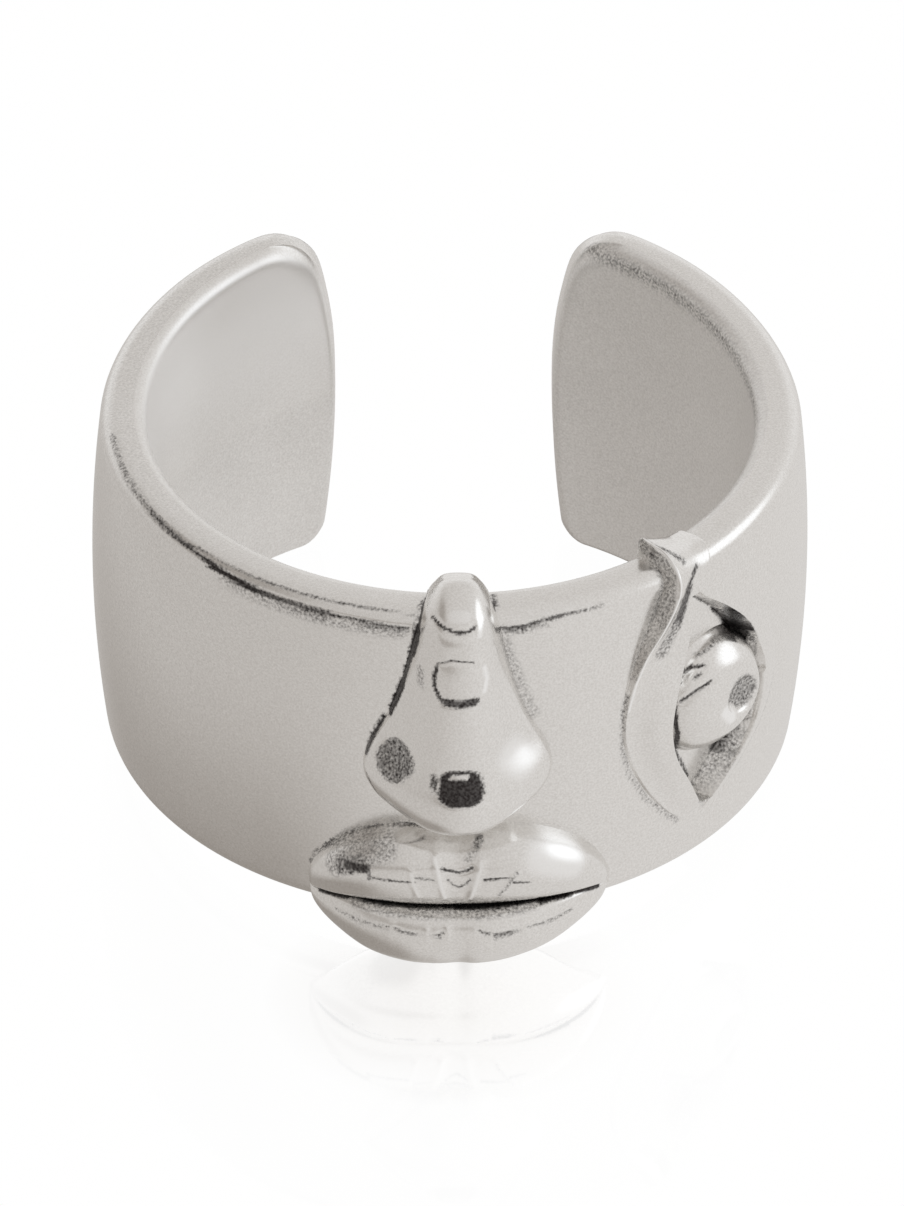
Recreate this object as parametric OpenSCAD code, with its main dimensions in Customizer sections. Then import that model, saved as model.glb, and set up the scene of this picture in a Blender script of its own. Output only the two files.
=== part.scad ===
// Open toe ring in cast silver, with a nose, lips and one upright eye raised on its band.
// The ring rests on its lower lip and on the lower corners of its two ends.
// Front is -Y, +Z is up, and the origin is on the floor under the middle of the whole.

/* [Band] */
// Diameter of the bore, where the toe goes in
bore_d = 14.8; // [14:0.1:18]
// Width of the band, along its axis
band_w = 9.16; // [8.8:0.02:9.6]
// Thickness of the wall at mid-width, where the band is fullest
wall = 1.4; // [1.3:0.05:1.6]
// How far the outside falls back from mid-width to the rims
barrel = 0.3; // [0.2:0.05:0.4]
// Rounding of the outer edge of both rims
rim_round = 0.45; // [0.4:0.05:0.5]
// Rounding of the inner edge of both rims
bore_round = 0.15; // [0.1:0.05:0.2]

/* [Opening at the back] */
// Width of the gap between the two ends, at mid-width
gap_w = 5.5; // [3:0.1:7]
// How much further apart the ends are at the rims than at mid-width
gap_flare = 1.4; // [0.4:0.1:1.6]
// Rounding of the ends' upper corners
upper_round = 1.4; // [0.5:0.1:1.6]
// Rounding of the ends' lower corners
lower_round = 0.5; // [0.3:0.1:1.6]

/* [Face] */
// Height of the nose over the band, for a tip of 1.85 mm
nose_scale = 1; // [0.8:0.05:1.1]
// Height of the lips over the band, for a lower lip of 1.2 mm
lip_scale = 1; // [0.8:0.05:1.1]
// Height of the eyelids over the band, for a left lid of 0.5 mm
lid_scale = 1; // [0.8:0.05:1.2]
// Depth of the eye's opening in the band
eye_depth = 0.5; // [0.3:0.05:0.6]

/* [Rest] */
// How far the lower lip reaches below the lower rim
lip_drop = 1.18; // [1:0.01:1.3]

/* [Hidden] */

bore_r = bore_d / 2;
out_r = bore_r + wall;
half_w = band_w / 2;
// Radius of the arc of the barrelled outside
barrel_r = (half_w * half_w + barrel * barrel) / (2 * barrel);
// Centre of the rounding at the outer edge of the upper rim, as radius and height
turn_r = out_r - barrel_r + sqrt(pow(barrel_r - rim_round, 2) - pow(half_w - rim_round, 2));
turn_z = half_w - rim_round;
// Length of the skin round that rounding
turn_len = rim_round * PI / 2;
// Radius and centre of the arc of each end, seen from behind
end_r = (half_w * half_w + gap_flare * gap_flare / 4) / gap_flare;
end_x = gap_w / 2 + end_r;
// How deep the raised forms are rooted under the skin of the band
root = 0.25;
// How far outside the bore the raised forms end, inside the wall
bore_clear = 0.04;
// The ring stands on the lip, this far in front of the axis, and on its ends, this far behind it
lip_front = 7.94;
end_back = 7.15;
lean = atan(lip_drop / (lip_front + end_back));
// How far the ring's axis is behind the middle of the whole, as the nose and lips stand forward
axis_y = 1.12;

// The nose, a row per section from its underside up the face and over the rim to the bore:
// place along the skin, height of the crest, half width and height of the ridge,
// half width and height of the wings or flanks, and half width at the foot
NOSE = [
    [-1.30, 0.05, 0.15, 0.05, 0.30, 0.03, 0.45],
    [-1.12, 0.50, 0.30, 0.42, 0.70, 0.10, 0.95],
    [-0.90, 1.02, 0.50, 0.88, 1.10, 0.34, 1.50],
    [-0.55, 1.58, 0.65, 1.40, 1.50, 0.62, 1.95],
    [-0.15, 1.84, 0.75, 1.60, 1.70, 0.86, 2.20],
    [0.30, 1.82, 0.78, 1.58, 1.72, 0.92, 2.28],
    [0.75, 1.70, 0.72, 1.48, 1.55, 0.80, 2.12],
    [1.30, 1.54, 0.64, 1.34, 1.25, 0.62, 1.82],
    [2.00, 1.42, 0.58, 1.22, 1.08, 0.54, 1.52],
    [2.90, 1.30, 0.52, 1.12, 0.92, 0.52, 1.26],
    [3.80, 1.16, 0.46, 1.02, 0.78, 0.52, 1.06],
    [4.30, 1.04, 0.42, 0.94, 0.72, 0.52, 0.98],
    [4.60, 0.90, 0.40, 0.82, 0.68, 0.48, 0.92],
    [4.95, 0.74, 0.40, 0.66, 0.66, 0.40, 0.88],
    [5.40, 0.62, 0.40, 0.54, 0.64, 0.32, 0.86],
    [5.90, 0.40, 0.36, 0.34, 0.60, 0.20, 0.84],
];

// The lips, a row per section from the left corner to the right one:
// place round the band, top edge, height of the upper lip, mouth line and its height,
// height of the lower lip, and its lower edge along the skin
LIPS = [
    [-3.72, -3.80, 0.06, -4.00, 0.05, 0.06, -4.15],
    [-3.35, -2.85, 0.42, -3.96, 0.20, 0.36, -4.58],
    [-2.80, -2.15, 0.78, -3.90, 0.30, 0.72, -5.00],
    [-2.05, -1.72, 0.98, -3.87, 0.36, 1.04, -5.30],
    [-1.20, -1.52, 1.00, -3.86, 0.40, 1.24, -5.50],
    [-0.55, -1.52, 0.96, -3.86, 0.42, 1.30, -5.55],
    [0.00, -1.75, 0.86, -3.88, 0.44, 1.26, -5.52],
    [0.55, -1.54, 0.96, -3.86, 0.42, 1.30, -5.55],
    [1.25, -1.52, 1.00, -3.84, 0.40, 1.26, -5.52],
    [2.10, -1.74, 0.98, -3.82, 0.36, 1.10, -5.38],
    [2.88, -2.22, 0.78, -3.84, 0.30, 0.82, -5.10],
    [3.45, -2.95, 0.42, -3.90, 0.20, 0.46, -4.72],
    [3.85, -3.75, 0.06, -4.00, 0.05, 0.06, -4.15],
];

// The left lid and its tail, a row per section from the lower corner up and over the rim:
// place along the skin, outer edge, crest, inner edge, and the heights of the crest and inner edge
LEFT_LID = [
    [-2.85, 5.96, 6.08, 6.35, 0.04, 0.04],
    [-2.55, 5.58, 5.78, 6.42, 0.16, 0.16],
    [-2.00, 5.13, 5.42, 6.12, 0.30, 0.26],
    [-1.40, 4.73, 5.04, 5.84, 0.38, 0.34],
    [-0.60, 4.36, 4.70, 5.50, 0.44, 0.40],
    [0.30, 4.12, 4.46, 5.33, 0.48, 0.42],
    [1.20, 4.14, 4.46, 5.46, 0.50, 0.40],
    [2.00, 4.32, 4.62, 5.70, 0.50, 0.36],
    [2.70, 4.58, 4.88, 5.92, 0.50, 0.30],
    [3.30, 4.88, 5.18, 6.06, 0.48, 0.26],
    [3.80, 5.16, 5.46, 6.42, 0.48, 0.20],
    [4.30, 5.38, 5.66, 6.84, 0.46, 0.12],
    [4.90, 5.46, 5.74, 7.08, 0.44, 0.06],
    [5.90, 5.48, 5.78, 7.05, 0.40, 0.04],
];

// The right lid, a row per section from the lower corner up:
// place along the skin, inner edge, outer edge, and height of the inner edge
RIGHT_LID = [
    [-2.75, 6.35, 6.75, 0.03],
    [-2.30, 6.86, 7.60, 0.10],
    [-1.60, 7.90, 8.80, 0.16],
    [-0.80, 8.52, 9.50, 0.18],
    [0.00, 8.70, 9.72, 0.18],
    [1.00, 8.46, 9.50, 0.18],
    [2.00, 7.90, 8.90, 0.16],
    [2.80, 7.18, 8.05, 0.14],
    [3.40, 6.52, 7.20, 0.10],
    [4.00, 6.10, 6.50, 0.03],
];

// The opening between the lids, a row per section: place along the skin, left edge, right edge
EYE = [
    [-2.50, 6.32, 6.54],
    [-2.00, 6.10, 7.38],
    [-1.40, 5.82, 8.14],
    [-0.60, 5.48, 8.62],
    [0.20, 5.34, 8.70],
    [1.00, 5.42, 8.46],
    [2.00, 5.70, 7.90],
    [2.80, 5.94, 7.18],
    [3.40, 6.03, 6.52],
    [3.80, 6.05, 6.16],
];

// The eyeball, a row per ring from its edge to the bottom of its pupil:
// centre round the band and along it, radius round the band and along it, and height
EYEBALL = [
    [7.25, 0.30, 1.62, 1.50, -0.62],
    [7.25, 0.30, 1.56, 1.44, -0.34],
    [7.26, 0.30, 1.42, 1.30, -0.12],
    [7.30, 0.28, 1.18, 1.08, 0.08],
    [7.42, 0.22, 0.88, 0.82, 0.22],
    [7.66, 0.12, 0.58, 0.60, 0.30],
    [7.76, 0.08, 0.46, 0.48, 0.26],
    [7.80, 0.06, 0.30, 0.32, 0.14],
    [7.82, 0.06, 0.12, 0.14, 0.08],
];

// A smooth curve through rows of numbers, n steps from each row to the next
function smooth(rows, n) = [
    for (i = [0 : len(rows) - 2])
        for (k = [0 : n - 1])
            spline(rows[max(i - 1, 0)], rows[i], rows[i + 1], rows[min(i + 2, len(rows) - 1)], k / n),
    rows[len(rows) - 1],
];
function spline(a, b, c, d, t) =
    (2 * b + (c - a) * t + (2 * a - 5 * b + 4 * c - d) * t * t
     + (3 * b - 3 * c + d - a) * t * t * t) / 2;

// A point round the axis: u is measured round the outside at mid-width, from the front
function around(u, r, z) = let (a = u / out_r * 180 / PI) [r * sin(a), -r * cos(a), z];

// A point at height h over the skin of the band. The skin runs up the outside, round the edge of
// the rim and over the rim to the bore, and s is the length along it from mid-width.
function on_skin(u, s, h) =
    let (over = abs(s) - turn_z, side = s < 0 ? -1 : 1)
    over <= 0
        ? around(u, out_r - barrel_r + sqrt(barrel_r * barrel_r - s * s) + h, s)
    : over < turn_len
        ? let (a = over / turn_len * 90)
            around(u, turn_r + (rim_round + h) * cos(a), side * (turn_z + (rim_round + h) * sin(a)))
    : around(u, turn_r - (over - turn_len), side * (half_w + h));

function middle(ring) = [for (k = [0 : 2]) let (c = [for (p = ring) p[k]]) c * [for (p = c) 1] / len(c)];

// A closed solid through rings of points, each end closed by a fan
module loft(rings) {
    n = len(rings[0]);
    last = len(rings) - 1;
    sides = [
        for (i = [0 : last - 1]) for (k = [0 : n - 1])
            let (a = i * n + k, b = i * n + (k + 1) % n)
            each [[a, b + n, b], [a, a + n, b + n]]
    ];
    fans = [
        for (k = [0 : n - 1])
            each [
                [k, (k + 1) % n, (last + 1) * n],
                [last * n + (k + 1) % n, last * n + k, (last + 1) * n + 1]
            ]
    ];
    polyhedron(
        points = concat([for (r = rings) each r], [middle(rings[0]), middle(rings[last])]),
        faces = concat(sides, fans),
        convexity = 8
    );
}

// Rings with their root under the skin, from sections that each hold a place along the skin and a
// curve of [place round the band, height]
function rooted(sections) = [
    for (c = sections)
        let (s = c[0], curve = c[1], first = curve[0][0], end = curve[len(curve) - 1][0])
        concat(
            [for (p = curve) on_skin(p[0], s, p[1])],
            [for (u = [end, (first + end) / 2, first]) on_skin(u, s, -root)]
        )
];

module bore_cut() {
    cylinder(h = 4 * band_w, r = bore_r + bore_clear, center = true, $fn = 240);
}

// Points along an arc round a centre, from one angle to another
function arc(centre, r, from, to, steps) = [
    for (k = [0 : steps])
        let (a = from + (to - from) * k / steps)
        centre + r * [cos(a), sin(a)]
];

// The outline of the wall's section, from the bore over the upper rim and down the barrelled outside
function wall_outline() =
    let (
        meet = asin(turn_z / (barrel_r - rim_round)),
        upper = concat(
            arc([bore_r + bore_round, half_w - bore_round], bore_round, 180, 90, 2),
            arc([turn_r, turn_z], rim_round, 90, meet, 3)
        ),
        outside = arc([out_r - barrel_r, 0], barrel_r, meet, -meet, 8)
    )
    concat(
        upper,
        [for (k = [1 : len(outside) - 2]) outside[k]],
        [for (k = [len(upper) - 1 : -1 : 0]) [upper[k][0], -upper[k][1]]]
    );

// The edge of one end seen from behind, from its upper corner to its lower one: it bulges into the
// gap in an arc, which runs into the rounds of the corners
function end_edge() =
    let (
        upper = asin((half_w - upper_round) / (end_r - upper_round)),
        lower = asin((half_w - lower_round) / (end_r - lower_round)),
        upper_x = end_x - (end_r - upper_round) * cos(upper),
        lower_x = end_x - (end_r - lower_round) * cos(lower),
        bulge = arc([end_x, 0], end_r, 180 - upper, 180 + lower, 8)
    )
    concat(
        [[upper_x, band_w]],
        arc([upper_x, half_w - upper_round], upper_round, 90, 180 - upper, 6),
        [for (k = [1 : len(bulge) - 2]) bulge[k]],
        arc([lower_x, lower_round - half_w], lower_round, 180 + lower, 270, 5),
        [[lower_x, -band_w]]
    );

module gap_outline() {
    edge = end_edge();
    polygon(concat(edge, [for (k = [len(edge) - 1 : -1 : 0]) [-edge[k][0], edge[k][1]]]));
}

module band() {
    difference() {
        rotate_extrude($fn = 240) polygon(wall_outline());
        rotate([90, 0, 0]) translate([0, 0, -2 * out_r]) linear_extrude(2 * out_r) gap_outline();
    }
}

module nose() {
    sections = [
        for (r = smooth(NOSE, 3))
            [r[0], nose_curve(r[1], r[2], r[3], r[4], r[5], r[6])]
    ];
    difference() {
        loft(rooted(sections));
        bore_cut();
    }
}

function nose_curve(crest, ridge_u, ridge_h, wing_u, wing_h, foot) = smooth([
    for (p = [[-foot, 0], [-wing_u, wing_h], [-ridge_u, ridge_h], [0, crest],
              [ridge_u, ridge_h], [wing_u, wing_h], [foot, 0]])
        [p[0], p[1] * nose_scale]
], 3);

module lips() {
    loft([for (r = smooth(LIPS, 2)) lip_ring(r)]);
}

// One upright section through both lips, closed by their root under the skin
function lip_ring(r) =
    let (
        u = r[0], top = r[1], up_h = r[2], mouth = r[3], mouth_h = r[4], low_h = r[5], low = r[6],
        up = top - mouth, down = mouth - low,
        curve = smooth([
            [top, 0], [top - 0.12 * up, 0.55 * up_h], [top - 0.50 * up, up_h],
            [top - 0.85 * up, 0.80 * up_h], [mouth, mouth_h],
            [mouth - 0.10 * down, 0.80 * low_h], [mouth - 0.45 * down, low_h],
            [mouth - 0.85 * down, 0.70 * low_h], [low, 0]
        ], 2)
    )
    concat(
        [for (s = [low, (low + mouth) / 2, mouth, (top + mouth) / 2, top]) on_skin(u, s, -root)],
        [for (p = curve) on_skin(u, p[0], p[1] * lip_scale)]
    );

module left_lid() {
    sections = [
        for (r = smooth(LEFT_LID, 2))
            let (rise = r[2] - r[1], fall = r[3] - r[2], crest = r[4] * lid_scale, edge = r[5] * lid_scale)
            [r[0], [
                [r[1], 0], [r[1] + 0.35 * rise, 0.60 * crest], [r[2], crest],
                [r[2] + 0.30 * fall, 0.90 * crest + 0.05 * edge],
                [r[2] + 0.65 * fall, 0.45 * crest + 0.50 * edge], [r[3], edge], [r[3] + 0.02, 0]
            ]]
    ];
    difference() {
        loft(rooted(sections));
        bore_cut();
    }
}

module right_lid() {
    sections = [
        for (r = smooth(RIGHT_LID, 2))
            let (fall = r[2] - r[1], edge = r[3] * lid_scale)
            [r[0], [
                [r[1] - 0.02, 0], [r[1], edge], [r[1] + 0.30 * fall, 0.95 * edge],
                [r[1] + 0.70 * fall, 0.45 * edge], [r[2], 0.01]
            ]]
    ];
    loft(rooted(sections));
}

// The space between the lids, sunk into the band, with a slanted right side
module eye_opening() {
    sections = [
        for (r = smooth(EYE, 2))
            let (slant = min(0.3, (r[2] - r[1]) / 3))
            [
                on_skin(r[1], r[0], 1.2), on_skin(r[1], r[0], -eye_depth),
                on_skin(r[2] - slant, r[0], -eye_depth), on_skin(r[2], r[0], 0), on_skin(r[2], r[0], 1.2)
            ]
    ];
    loft([for (r = sections) [for (k = [4 : -1 : 0]) r[k]]]);
}

module eyeball() {
    steps = 24;
    loft([
        for (r = EYEBALL)
            [
                for (k = [0 : steps - 1])
                    let (a = k * 360 / steps)
                    on_skin(r[0] + r[2] * cos(a), r[1] + r[3] * sin(a), r[4])
            ]
    ]);
}

module cast_ring() {
    color("silver")
        translate([0, axis_y, half_w * cos(lean) + end_back * sin(lean)])
            rotate([-lean, 0, 0]) {
                difference() {
                    union() {
                        band();
                        left_lid();
                        right_lid();
                    }
                    eye_opening();
                }
                eyeball();
                nose();
                lips();
            }
}

cast_ring();
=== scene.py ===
"""An open toe ring in cast silver, with a nose, lips and one upright eye raised on its band.

The ring is shaped in millimetres, upright about its own axis and with that axis at the origin, and
is set down on the floor when it is whole: leaned back, moved and brought to metres.
"""

import math

import bpy
import numpy as np
from mathutils import Matrix, Vector


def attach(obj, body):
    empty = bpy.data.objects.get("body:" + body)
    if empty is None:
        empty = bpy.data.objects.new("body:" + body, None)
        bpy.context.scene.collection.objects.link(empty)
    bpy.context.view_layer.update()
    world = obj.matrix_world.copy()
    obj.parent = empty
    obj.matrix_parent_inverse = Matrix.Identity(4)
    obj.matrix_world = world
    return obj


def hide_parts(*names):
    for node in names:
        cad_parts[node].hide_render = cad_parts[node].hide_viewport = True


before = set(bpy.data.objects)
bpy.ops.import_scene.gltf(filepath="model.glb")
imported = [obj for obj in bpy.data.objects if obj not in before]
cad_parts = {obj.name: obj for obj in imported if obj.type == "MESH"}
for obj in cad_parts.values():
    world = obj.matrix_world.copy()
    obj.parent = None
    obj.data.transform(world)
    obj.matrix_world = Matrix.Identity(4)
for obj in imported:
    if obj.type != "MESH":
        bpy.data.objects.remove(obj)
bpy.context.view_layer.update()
bpy.ops.object.select_all(action="DESELECT")

# The camera
# A long lens looks down at the front of the ring from a little to the left, as in the photograph.
# Its distance, height angle and framing are fitted to the photograph in the ring's own frame.
MM = 0.001
lean = math.radians(4.4714)
axis_place = Vector((0, 1.12, 5.1235)) * MM
set_down = Matrix.Translation(axis_place) @ Matrix.Rotation(-lean, 4, "X")

film_width = 36
camera_distance = 211.2 * MM
camera_height, camera_side, camera_roll = math.radians(36.8), math.radians(-1.5), math.radians(0.53)
frame_height, frame_width = 1206, 904
lens_in_pixels = 8565.6
aim_x, aim_y = 449.7, 555.1

bpy.ops.object.camera_add()
camera = bpy.context.object
camera.name = "camera"
camera.data.sensor_width = film_width
camera.data.lens = film_width * lens_in_pixels / frame_height
camera.data.shift_x = (frame_width / 2 - aim_x) / frame_height
camera.data.shift_y = (aim_y - frame_height / 2) / frame_height
camera.data.clip_start, camera.data.clip_end = 0.01, 10
out = Vector((math.sin(camera_side) * math.cos(camera_height),
              -math.cos(camera_side) * math.cos(camera_height), math.sin(camera_height)))
camera.matrix_world = (set_down @ Matrix.Translation(out * camera_distance)
                       @ out.to_track_quat("Z", "Y").to_matrix().to_4x4()
                       @ Matrix.Rotation(camera_roll, 4, "Z"))
bpy.context.scene.camera = camera

# The band
# A wide cast band, open at the back, with a straight bore and a barrelled outside. Its rims and the
# edges of its two ends are rounded by hand, and the upper corners of the ends stand a little higher.
bore_r, out_r, half_w = 7.4, 8.8, 4.58
barrel, rim_round, bore_round = 0.3, 0.45, 0.34
outer_end_round, bore_end_round, bore_low_round = 0.5, 0.2, 0.1
gap_w, upper_flare, lower_flare, upper_round, lower_round = 5.5, 1.4, 0.7, 1.4, 0.6
end_rise, rise_turn = 0.3, 1.1
band_steps, barrel_rows, round_rows, end_rings = 300, 16, 10, 8
row_evenness = 0.4
spin_half = math.radians(170)

barrel_r = (half_w ** 2 + barrel ** 2) / (2 * barrel)
turn_z = half_w - rim_round
turn_r = out_r - barrel_r + math.sqrt((barrel_r - rim_round) ** 2 - turn_z ** 2)
turn_len = rim_round * math.pi / 2
mid_r = (bore_r + out_r) / 2


def ease(x):
    """A smooth step from 0 to 1."""
    x = min(max(x, 0), 1)
    return x * x * (3 - 2 * x)


def wall_rows():
    """Points (radius, height) of the bore side and of the outside, from mid-width up to the rim."""
    meet = math.asin(turn_z / (barrel_r - rim_round))
    for k in range(barrel_rows):
        t = (row_evenness * k / barrel_rows
             + (1 - row_evenness) * math.sin(math.radians(90 * k / barrel_rows)))
        z = t * turn_z
        yield (bore_r, t * (half_w - bore_round)), (out_r - barrel_r + math.sqrt(barrel_r ** 2 - z * z), z)
    for k in range(round_rows + 1):
        t = k / round_rows
        a, b = math.radians(90) * t, meet + (math.radians(90) - meet) * t
        yield ((bore_r + bore_round * (1 - math.cos(a)), half_w - bore_round * (1 - math.sin(a))),
               (turn_r + rim_round * math.cos(b), turn_z + rim_round * math.sin(b)))


def corner(z):
    """The radius of the nearest corner of an end, seen from the front."""
    return upper_round if z > 0 else lower_round


def end_r(z):
    """The radius that an end bulges into the gap with, above and below its middle."""
    flare = upper_flare if z > 0 else lower_flare
    return (half_w ** 2 + flare ** 2 / 4) / flare


def full_gap(z):
    """Half the width of the gap at a height, before its corners are rounded."""
    return gap_w / 2 + end_r(z) - math.sqrt(end_r(z) ** 2 - z * z)


def half_gap(z):
    """Half the width of the gap at a height, with its round corners."""
    corner_z = half_w - corner(z)
    if abs(z) * (end_r(z) - corner(z)) < corner_z * end_r(z):
        return full_gap(z)
    corner_x = gap_w / 2 + end_r(z) - math.sqrt((end_r(z) - corner(z)) ** 2 - corner_z ** 2)
    return corner_x - math.sqrt(max(corner(z) ** 2 - (abs(z) - corner_z) ** 2, 0))


def fallen(edge, from_edge):
    """How far a rounded edge has fallen away at a distance from the outline."""
    return edge - math.sqrt(edge ** 2 - (edge - min(max(from_edge, 0), edge)) ** 2)


def band_point(ring, r, z):
    """A point of the wall's section, carried to one of the rings of points round the band."""
    side, edge, end_round = -1, bore_round, bore_end_round
    if r > mid_r:
        side, edge, end_round = 1, rim_round, outer_end_round
    softer = bore_low_round if side < 0 and z < 0 else edge
    from_end = min(ring, band_steps - ring, end_rings) / end_rings
    gap = half_gap(z) + end_round * (1 - math.cos(math.radians(90) * from_end))
    share = max(-1, min(1, (ring - band_steps / 2) / (band_steps / 2 - end_rings)))
    turn = share * (math.pi - math.asin(gap / r))
    from_rim = half_w - abs(z)
    from_gap = (math.pi - math.asin(full_gap(z) / r) - abs(turn)) * r
    to_edge = min(from_rim, from_gap)
    if max(from_rim, from_gap) < corner(z):
        to_edge = corner(z) - math.hypot(corner(z) - from_rim, corner(z) - from_gap)
    nearer_end = ease(from_rim / max(from_rim + from_gap, 0.001))
    r += side * (fallen(edge, from_rim) - fallen(softer + (end_round - softer) * nearer_end, to_edge))
    turn = share * (math.pi - math.asin(gap / r))
    z += end_rise * ease((abs(turn) - math.pi / 2) / rise_turn) * (z / half_w + 1) / 2
    return r * math.sin(turn), -r * math.cos(turn), z


section = list(wall_rows())
section = [((a, -b), (c, -d)) for (a, b), (c, d) in reversed(section[1:])] + section

bpy.ops.mesh.primitive_grid_add(x_subdivisions=1, y_subdivisions=len(section) - 1, size=2)
band = bpy.context.object
for v in band.data.vertices:
    r, z = section[round((v.co.y + 1) / 2 * (len(section) - 1))][round((v.co.x + 1) / 2)]
    v.co = (-r * math.sin(spin_half), -r * math.cos(spin_half), z)
bpy.ops.object.mode_set(mode="EDIT")
bpy.ops.mesh.select_all(action="SELECT")
bpy.ops.mesh.spin(steps=band_steps, angle=2 * spin_half, center=(0, 0, 0), axis=(0, 0, -1))
bpy.ops.object.mode_set(mode="OBJECT")
for v in band.data.vertices:
    ring = round((math.atan2(v.co.x, -v.co.y) / spin_half + 1) * band_steps / 2)
    v.co = band_point(ring, math.hypot(v.co.x, v.co.y), v.co.z)
bpy.ops.object.mode_set(mode="EDIT")
bpy.ops.mesh.select_all(action="SELECT")
bpy.ops.mesh.normals_make_consistent(inside=False)
bpy.ops.mesh.select_all(action="DESELECT")
bpy.ops.object.mode_set(mode="OBJECT")

# The tips of both ends are worn soft, from so far back and so high up
tip_back, tip_back_fade, tip_high, tip_high_fade = 5.4, 1.2, 1.5, 1.5
worn = band.vertex_groups.new(name="ends")
for v in band.data.vertices:
    at_tip = ease((v.co.y - tip_back) / tip_back_fade) * ease((v.co.z - tip_high) / tip_high_fade)
    if at_tip > 0:
        worn.add([v.index], at_tip, "REPLACE")
wear = band.modifiers.new("wear", "SMOOTH")
wear.factor, wear.iterations, wear.vertex_group = 0.5, 10, "ends"
bpy.ops.object.modifier_apply(modifier=wear.name)

# The front has a finer mesh between these places round it, for the small marks about its face
fine_left, fine_right, fine_high = -4.2, 6.2, 4
for f in band.data.polygons:
    x, y, z = f.center
    round_it = math.atan2(x, -y) * out_r
    f.select = math.hypot(x, y) > mid_r and fine_left < round_it < fine_right and abs(z) < fine_high
bpy.ops.object.mode_set(mode="EDIT")
bpy.ops.mesh.select_mode(type="FACE")
bpy.ops.mesh.subdivide(number_cuts=1)
bpy.ops.mesh.select_mode(type="VERT")
bpy.ops.object.mode_set(mode="OBJECT")

# The nose
# It is cast with the band: a bridge with steep sides, a rounded tip between two wings, and a root
# that goes over the upper rim and ends at the bore. Its underside comes down on the upper lip.
root = 0.25

# Place along the skin, height of the crest, half width and height of the ridge, half width and
# height of the wings or flanks, and half width at the foot
NOSE = [
    [-1.30, 0.00, 0.11, 0.00, 0.22, 0.00, 0.42],
    [-1.12, 0.50, 0.30, 0.42, 0.60, 0.10, 0.78],
    [-0.90, 1.02, 0.48, 0.88, 0.92, 0.38, 1.22],
    [-0.55, 1.58, 0.62, 1.40, 1.30, 0.66, 1.68],
    [-0.15, 1.84, 0.74, 1.60, 1.56, 0.90, 2.02],
    [0.30, 1.82, 0.78, 1.58, 1.68, 0.94, 2.22],
    [0.75, 1.70, 0.72, 1.48, 1.62, 0.84, 2.20],
    [1.30, 1.54, 0.64, 1.36, 1.36, 0.66, 1.94],
    [1.65, 1.47, 0.61, 1.31, 1.25, 0.62, 1.77],
    [2.00, 1.42, 0.58, 1.26, 1.16, 0.60, 1.62],
    [2.45, 1.36, 0.55, 1.21, 1.07, 0.60, 1.47],
    [2.90, 1.30, 0.52, 1.16, 1.00, 0.60, 1.34],
    [3.35, 1.23, 0.49, 1.11, 0.93, 0.60, 1.23],
    [3.80, 1.16, 0.46, 1.05, 0.86, 0.60, 1.13],
    [4.05, 1.10, 0.44, 1.00, 0.82, 0.59, 1.07],
    [4.18, 1.07, 0.43, 0.98, 0.80, 0.58, 1.04],
    [4.30, 1.04, 0.42, 0.95, 0.78, 0.57, 1.01],
    [4.45, 0.97, 0.41, 0.89, 0.75, 0.55, 0.98],
    [4.60, 0.90, 0.40, 0.83, 0.72, 0.52, 0.95],
    [4.95, 0.74, 0.40, 0.68, 0.67, 0.44, 0.89],
    [5.25, 0.64, 0.40, 0.59, 0.64, 0.37, 0.86],
    [5.40, 0.50, 0.38, 0.45, 0.62, 0.27, 0.85],
    [5.48, 0.00, 0.36, 0.00, 0.60, 0.00, 0.84],
]


def along(rows, t):
    """A row of numbers on the smooth curve through rows, at t from 0 to 1."""
    t = min(max(t, 0), 1) * (len(rows) - 1)
    i = min(int(t), len(rows) - 2)
    t -= i
    a, b, c, d = rows[max(i - 1, 0)], rows[i], rows[i + 1], rows[min(i + 2, len(rows) - 1)]
    return [(2 * q + (r - p) * t + (2 * p - 5 * q + 4 * r - s) * t * t
             + (3 * q - 3 * r + s - p) * t ** 3) / 2 for p, q, r, s in zip(a, b, c, d)]


def skin(u, s, h):
    """A point at height h over the outside of the band: u is measured round it from the front, and
    s up it from mid-width, round the edge of the rim and over the rim towards the bore."""
    over, turn = abs(s) - turn_z, u / out_r
    if over <= 0:
        r, z = out_r - barrel_r + math.sqrt(barrel_r ** 2 - s * s) + h, s
    elif over < turn_len:
        a = over / rim_round
        r, z = turn_r + (rim_round + h) * math.cos(a), turn_z + (rim_round + h) * math.sin(a)
    else:
        r, z = turn_r - (over - turn_len), half_w + h
    return Vector((r * math.sin(turn), -r * math.cos(turn), z if over <= 0 else math.copysign(z, s)))


def raised(rows, columns, outside, inside):
    """A closed piece on the band: its outside and its root in the wall are sheets of quads."""
    bpy.ops.mesh.primitive_grid_add(x_subdivisions=columns, y_subdivisions=rows, size=2)
    piece = bpy.context.object
    bpy.ops.object.mode_set(mode="EDIT")
    bpy.ops.mesh.select_all(action="SELECT")
    bpy.ops.mesh.extrude_region_move()
    bpy.ops.object.mode_set(mode="OBJECT")
    for v in piece.data.vertices:
        a, b = (v.co.y + 1) / 2, (v.co.x + 1) / 2
        v.co = outside(a, b) if v.select else inside(a, b)
    bpy.ops.object.mode_set(mode="EDIT")
    bpy.ops.mesh.select_all(action="SELECT")
    bpy.ops.mesh.normals_make_consistent(inside=False)
    bpy.ops.object.mode_set(mode="OBJECT")
    return piece


def sheets(section):
    """The outside and the root of a raised piece, from what gives its section at a share of its
    length: the place along the skin, and the curve across as rows of place round it and height."""
    def outside(a, b):
        s, curve = section(a)
        u, h = along(curve, b)
        return skin(u, s, h)

    def inside(a, b):
        s, curve = section(a)
        return skin(along(curve, b)[0], s, -root)

    return outside, inside


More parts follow.
